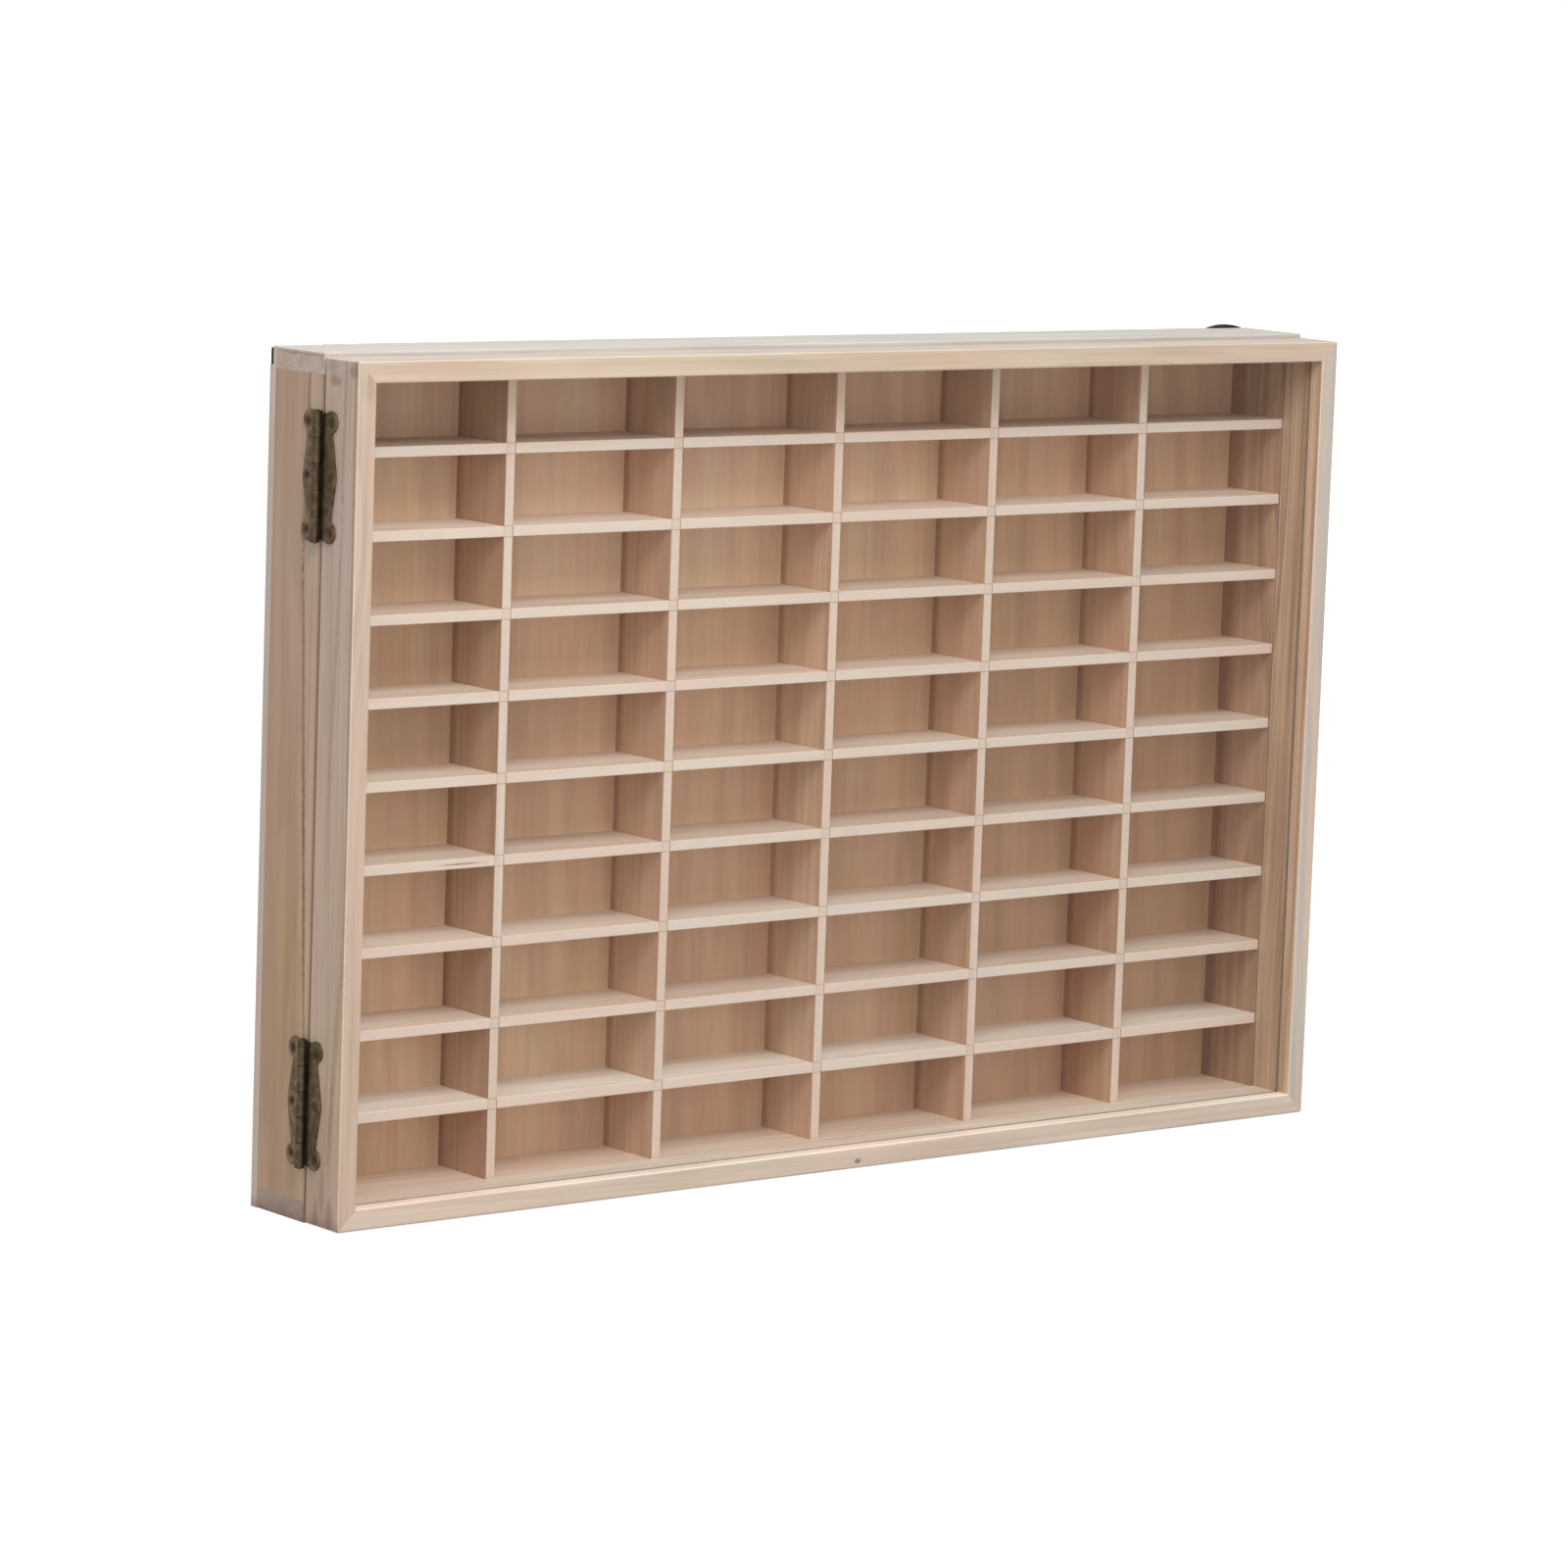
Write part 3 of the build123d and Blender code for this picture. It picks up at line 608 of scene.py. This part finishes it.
# the tops of the shelves differ a little, from the highest shelf down: painted light, with the
# highest shelf lightest where the top rail shades it
SHELF_TOP_LIGHT = (
    rgb(1.15, 1.26, 1.36),
    rgb(1.0, 1.0, 1.0),
    rgb(1.03, 1.06, 1.08),
    rgb(0.94, 0.93, 0.92),
    rgb(1.02, 1.03, 1.04),
    rgb(1.01, 1.01, 1.01),
    rgb(0.94, 0.93, 0.92),
    rgb(1.05, 1.06, 1.08),
    rgb(0.89, 0.85, 0.82),
)
for index, top in enumerate(SHELF_TOP_LIGHT, 1):
    boards[f"shelf_{index}"] = dict(
        grain="X",
        pith=(60 - 14 * index, -90),
        light=PALE,
        dark=PALE_DARK,
        rings=0.25,
        streaks=0.35,
        front=EDGE,
        upper=top,
        shift=(37.0 * index, 0.0, 91.0 * index),
        crossing=(COLUMN_PITCH, FIRST_DIVIDER),
        marks=shelf_marks if index == marked_shelf else (),
    )

# each divider is made lighter or darker, from the left one on: painted light and shade that change
# from column to column, darkest in the first column beside the left stile
DIVIDER_LIGHT_TINTS = (
    (0.9, 0.88, 0.86),
    (1.02, 1.03, 1.05),
    (1.11, 1.18, 1.22),
    (1.02, 1.02, 1.02),
    (1.04, 1.02, 1.0),
)
for index, tint in enumerate(DIVIDER_LIGHT_TINTS, 1):
    face = FIRST_DIVIDER + COLUMN_PITCH * (index - 1) - THIN_BOARD / 2
    boards[f"divider_{index}"] = dict(
        grain="Z",
        pith=(-200 + 90 * index, 60),
        light=tinted(UPRIGHT, tint),
        dark=tinted(UPRIGHT_DARK, tint),
        rings=0.35,
        streaks=0.4,
        front=EDGE,
        shift=(53.0 * index, 0.0, 77.0 * index),
        crossing=(ROW_PITCH, LOWEST_SHELF),
        marks=(
            # painted shade in the back corner of each cell, and painted light at the top of the
            # front edge, where the top rail shades it
            ((face, PANEL_FACE, 200), (12, 6.5, 900), LEVEL, CORNER_SHADE, 0.8),
            ((face, CASE_FRONT, 384), (12, 3.5, 30), LEVEL, rgb(1.2, 1.18, 1.15), 1.0),
        ),
    )
# painted shade over the lower part of the last divider
boards["divider_5"]["marks"] += (
    ((195, 19, 50), (12, 27, 150), LEVEL, rgb(0.86, 0.78, 0.7), 1.0),
)


def hinge_shade_and_grime(barrel):
    """Painted shade in the hollow between barrel and front leaf, a dark ring round each nail and a
    painted highlight round that. The barrel has its own tint.
    """

    def spread(g, spot, colour):
        x, y, z = g.split(spot)
        forward = g.math("SUBTRACT", y, HINGE_AXIS)
        # the raised barrel takes its own tint; on the rear leaf this darkens the barrel back from
        # the painted light of that leaf
        raised = g.band(x, LEAF_FACE - 0.4, LEAF_FACE - 1.4)
        colour = g.stain(raised, colour, barrel)

        # painted shade in the hollow between the barrel and the front leaf
        beside = g.times(g.band(forward, -5.4, -3.6), g.band(forward, -0.4, 0.8, 1.0, 0.0))
        beside = g.times(beside, g.band(x, LEAF_FACE - 2.6, LEAF_FACE - 1.2))
        colour = g.stain(g.times(beside, 0.9), colour, rgb(0.2, 0.15, 0.08))

        # a dark ring round each nail, and a painted highlight ring round that
        across = g.math("SUBTRACT", g.math("ABSOLUTE", forward), NAIL_REACH)
        rise = g.apart(g.apart(z, MIDDLE_HEIGHT), HINGE_SPACING)
        rise = g.math("MINIMUM", rise, g.apart(rise, NAIL_RISE))
        near = g.length(across, rise, 0.0)
        colour = g.stain(g.band(near, 1.2, 3.0, 0.8, 0.0), colour, rgb(0.4, 0.27, 0.17))
        rim = g.times(g.band(near, 2.8, 3.6), g.band(near, 4.0, 5.2, 1.0, 0.0))
        return g.stain(g.times(rim, 0.45), colour, rgb(1.5, 1.42, 1.3))

    return spread


def metal(name, base, worn, wear, rough, grit, shade_and_dirt=None):
    """Cast or stamped metal with a dark coat that is rubbed off on high places."""
    material, g, surface = shader(name)
    spot = g.millimetres(g.node("ShaderNodeTexCoord"))
    cloud = g.noise(spot, 0.22, 3.0, 0.55)
    grain = g.noise(spot, 2.2, 3.0, 0.6)
    rubbed = g.band(cloud, 0.38, 0.7)
    rubbed = g.math("MULTIPLY_ADD", g.centred(grain), 0.25, rubbed, clamp=True)
    colour = g.mix(g.times(rubbed, wear), base, worn)
    if shade_and_dirt:
        colour = shade_and_dirt(g, spot, colour)
    g.put(surface.inputs["Base Color"], colour)
    g.put(surface.inputs["Roughness"], g.math("MULTIPLY_ADD", grain, 0.2, rough))
    surface.inputs["Metallic"].default_value = 0.55
    surface.inputs["Specular IOR Level"].default_value = 0.3
    height = g.math("MULTIPLY_ADD", cloud, 1.5, grain)
    g.put(surface.inputs["Normal"], g.bump(height, grit * MM))
    return material


front_leaf_bronze = metal(
    "front_leaf_bronze",
    base=rgb(0.065, 0.043, 0.023),
    worn=rgb(0.148, 0.104, 0.063),
    wear=0.8,
    rough=0.5,
    grit=0.12,
    shade_and_dirt=hinge_shade_and_grime(rgb(0.9, 0.9, 0.85)),
)
# painted light: the rear leaf is a lighter copy of the front leaf's bronze, as if the barrel cast
# no shadow on it
rear_leaf_bronze_lit = metal(
    "rear_leaf_bronze_lit",
    base=rgb(0.105, 0.067, 0.034),
    worn=rgb(0.235, 0.162, 0.09),
    wear=0.8,
    rough=0.5,
    grit=0.12,
    shade_and_dirt=hinge_shade_and_grime(rgb(0.55, 0.58, 0.6)),
)
bronze = metal(
    "antique_bronze",
    base=rgb(0.06, 0.046, 0.027),
    worn=rgb(0.15, 0.12, 0.075),
    wear=0.8,
    rough=0.42,
    grit=0.1,
)
nail_bronze = metal(
    "nail_bronze",
    base=rgb(0.044, 0.019, 0.008),
    worn=rgb(0.105, 0.055, 0.026),
    wear=0.6,
    rough=0.55,
    grit=0.05,
)
iron = metal(
    "black_iron",
    base=rgb(0.014, 0.014, 0.015),
    worn=rgb(0.05, 0.048, 0.046),
    wear=0.6,
    rough=0.5,
    grit=0.1,
)
steel = metal(
    "bright_steel",
    base=rgb(0.42, 0.41, 0.39),
    worn=rgb(0.62, 0.61, 0.59),
    wear=0.8,
    rough=0.25,
    grit=0.03,
)

PANE_CLEAR = rgb(0.985, 0.99, 0.985)
PANE_IOR = 1.3
PANE_GLOSS = 0.28
PANE_DUST_AND_SHADE = (rgb(0.5, 0.37, 0.27), rgb(0.62, 0.48, 0.37))


def clear_pane():
    material = bpy.data.materials.new("clear_pane")
    g = Graph(material)
    spot = g.millimetres(g.node("ShaderNodeTexCoord"))
    smear = g.noise(spot, 0.03, 3.0, 0.6)
    clear = g.node("ShaderNodeBsdfTransparent")
    clear.inputs["Color"].default_value = PANE_CLEAR
    gloss = g.node("ShaderNodeBsdfGlossy")
    g.put(gloss.inputs["Roughness"], g.times(smear, 0.06))
    edge = g.node("ShaderNodeFresnel")
    edge.inputs["IOR"].default_value = PANE_IOR
    glass = g.blend_shaders(g.times(edge.outputs[0], PANE_GLOSS), clear, gloss)

    # dust and painted shade where the pane goes into its groove
    x, _, z = g.split(spot)
    rim = g.band(g.math("ABSOLUTE", x), OPENING_REACH - 0.5, OPENING_REACH)
    rise = g.band(g.apart(z, MIDDLE_HEIGHT), OPENING_RISE - 0.5, OPENING_RISE)
    rim = g.math("MAXIMUM", rim, rise)
    dust = g.node("ShaderNodeBsdfDiffuse")
    g.put(dust.inputs["Color"], g.mix(smear, *PANE_DUST_AND_SHADE))
    g.finish("ShaderNodeOutputMaterial", g.blend_shaders(g.times(rim, 0.9), glass, dust))
    return material


def dress(node, material):
    node.data.materials.clear()
    node.data.materials.append(material)


for name, look in boards.items():
    dress(nodes[name], softwood(name, **look))
dress(nodes["pane"], clear_pane())
for name, node in nodes.items():
    if name.endswith("hinge_nails"):
        dress(node, nail_bronze)
    elif name.endswith("hinge_case_leaf"):
        dress(node, rear_leaf_bronze_lit)
    elif "hinge" in name:
        dress(node, front_leaf_bronze)
    elif name.startswith(("latch", "catch")):
        dress(node, bronze)
    elif name.startswith(("left_hanger", "right_hanger", "hanger_screws")):
        dress(node, iron)
    elif name.endswith("brads"):
        dress(node, steel)

# The floor and the world, in metres. Both are white to the camera, and the floor keeps the shadow.
FLOOR_REACH = 30.0
FLOOR_GREY = 0.5
FLOOR_GLOW = 0.72
WORLD = 0.62


def studio():
    floor_mesh = bpy.data.meshes.new("floor")
    corners = [(-1, -1), (1, -1), (1, 1), (-1, 1)]
    corners = [(FLOOR_REACH * x, FLOOR_REACH * y, 0) for x, y in corners]
    floor_mesh.from_pydata(corners, [], [(0, 1, 2, 3)])
    floor = bpy.data.objects.new("floor", floor_mesh)
    bpy.context.scene.collection.objects.link(floor)

    material = bpy.data.materials.new("floor")
    g = Graph(material)
    matte = g.node("ShaderNodeBsdfDiffuse")
    matte.inputs["Color"].default_value = rgb(FLOOR_GREY, FLOOR_GREY, FLOOR_GREY)
    glow = g.node("ShaderNodeEmission")
    g.put(glow.inputs["Strength"], g.times(g.seen(), FLOOR_GLOW))
    both = g.node("ShaderNodeAddShader")
    g.put(both.inputs[0], matte.outputs[0])
    g.put(both.inputs[1], glow.outputs[0])
    g.finish("ShaderNodeOutputMaterial", both)
    floor_mesh.materials.append(material)

    world = bpy.data.worlds.new("studio")
    bpy.context.scene.world = world
    g = Graph(world)
    light = g.node("ShaderNodeBackground")
    light.inputs["Color"].default_value = rgb(1.0, 1.0, 1.0)
    g.put(light.inputs["Strength"], g.math("MULTIPLY_ADD", g.seen(), 1.0 - WORLD, WORLD))
    g.finish("ShaderNodeOutputWorld", light)


# The lamps. Each softbox is (name, place, power, width), and is aimed at the middle of the case.
KEY_PLACE = (0, 0, 2)
KEY_FROM = (-0.16, -0.65, 0.745)
KEY_POWER = 1.0
KEY_SPREAD = 30
SOFTBOXES = (
    ("softbox_high", (-0.5, -0.8, 1.1), 6.75, 0.7),
    ("softbox_low", (-0.9, -1.1, 0.45), 1.6, 0.7),
)


def lamp(name, kind, place, towards, power):
    data = bpy.data.lights.new(name, kind)
    data.energy = power
    made = bpy.data.objects.new(name, data)
    made.rotation_mode = "QUATERNION"
    made.rotation_quaternion = Vector(towards).to_track_quat("Z", "Y")
    made.location = place
    bpy.context.scene.collection.objects.link(made)
    return data


def lamps():
    key = lamp("key", "SUN", KEY_PLACE, KEY_FROM, KEY_POWER)
    key.angle = math.radians(KEY_SPREAD)
    middle = Vector((0, 0, MIDDLE_HEIGHT * MM))
    for name, place, power, width in SOFTBOXES:
        box = lamp(name, "AREA", place, Vector(place) - middle, power)
        box.shape = "DISK"
        box.size = width


# The camera, fitted to the edges of the case in the photograph
CAMERA_PLACE = Vector((-1.8536, -2.2960, 0.6001))
CAMERA_BACK = Vector((-0.6178, -0.7738, 0.1396))
CAMERA_RIGHT = Vector((0.7840, -0.6197, 0.0349))
CAMERA_LENS = 140.75
CAMERA_SENSOR = 36.0


def camera():
    data = bpy.data.cameras.new("camera")
    data.sensor_width = CAMERA_SENSOR
    data.lens = CAMERA_LENS
    data.clip_start = 0.01
    data.clip_end = 200.0
    back = CAMERA_BACK.normalized()
    right = (CAMERA_RIGHT - back * CAMERA_RIGHT.dot(back)).normalized()
    turn = Matrix((right, back.cross(right), back)).transposed()
    made = bpy.data.objects.new("camera", data)
    made.matrix_world = Matrix.Translation(CAMERA_PLACE) @ turn.to_4x4()
    bpy.context.scene.collection.objects.link(made)
    bpy.context.scene.camera = made


studio()
lamps()
camera()
bpy.context.scene.view_settings.view_transform = "Standard"
